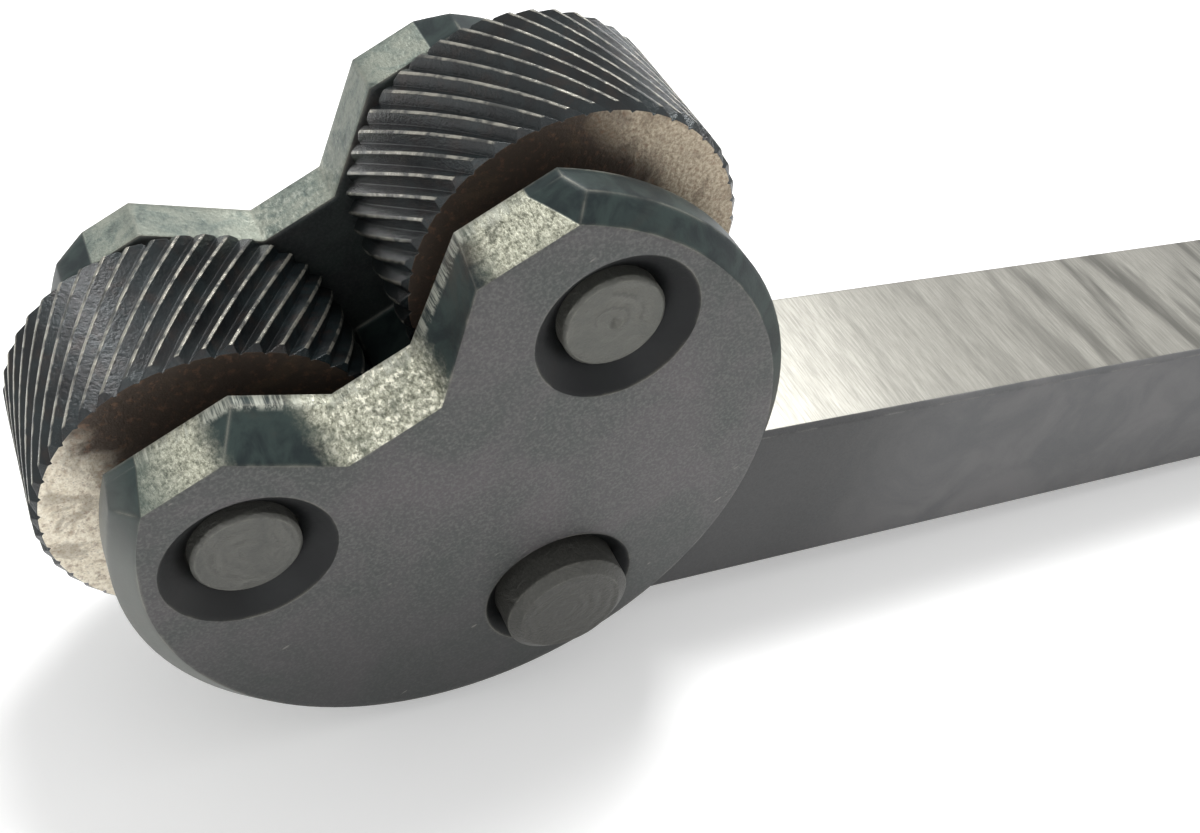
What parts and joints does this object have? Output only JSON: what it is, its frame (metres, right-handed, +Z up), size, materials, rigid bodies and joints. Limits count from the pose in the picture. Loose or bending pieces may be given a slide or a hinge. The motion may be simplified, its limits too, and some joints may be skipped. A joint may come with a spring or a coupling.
{
  "type": "knurling tool",
  "caption": "Lathe knurling tool: rectangular shank with a swivelling round head, notched at the nose and slotted for helical-toothed knurling wheels on pressed pins.",
  "frame": {"origin": "middle of the shank's flat underside, which sits in the toolpost", "axes": "+X along the shank to its rear end, away from the wheels; +Y across the shank, along the pivot and wheel pins; +Z up, from the shank's underside to its top"},
  "size_m": [0.1337, 0.0212, 0.0411],
  "materials": {
    "ground_steel": "ground across the top, darkened on the sides",
    "blackened_steel": "matte black oxide",
    "hardened_steel": "glossy dark oiled steel with worn tooth crests",
    "pin_steel": "satin dark steel"
  },
  "bodies": {
    "shank": {"shank": "ground_steel"},
    "head": {"head": "blackened_steel", "upper_wheel_pin": "pin_steel", "lower_wheel_pin": "pin_steel", "pivot_pin": "pin_steel"},
    "upper_wheel": {"upper_wheel": "hardened_steel"},
    "lower_wheel": {"lower_wheel": "hardened_steel"}
  },
  "joints": [
    {"name": "head_swivel", "type": "hinge", "parent": "shank", "child": "head", "pos_m": [-0.052, 0, 0.0071], "axis": [0, -1, 0], "range_deg": [0, 111.6]},
    {"name": "upper_wheel_spin", "type": "hinge", "parent": "head", "child": "upper_wheel", "pos_m": [-0.05266, 0, 0.02852], "axis": [0, 1, 0], "continuous": true},
    {"name": "lower_wheel_spin", "type": "hinge", "parent": "head", "child": "lower_wheel", "pos_m": [-0.07166, 0, 0.01563], "axis": [0, 1, 0], "continuous": true}
  ]
}
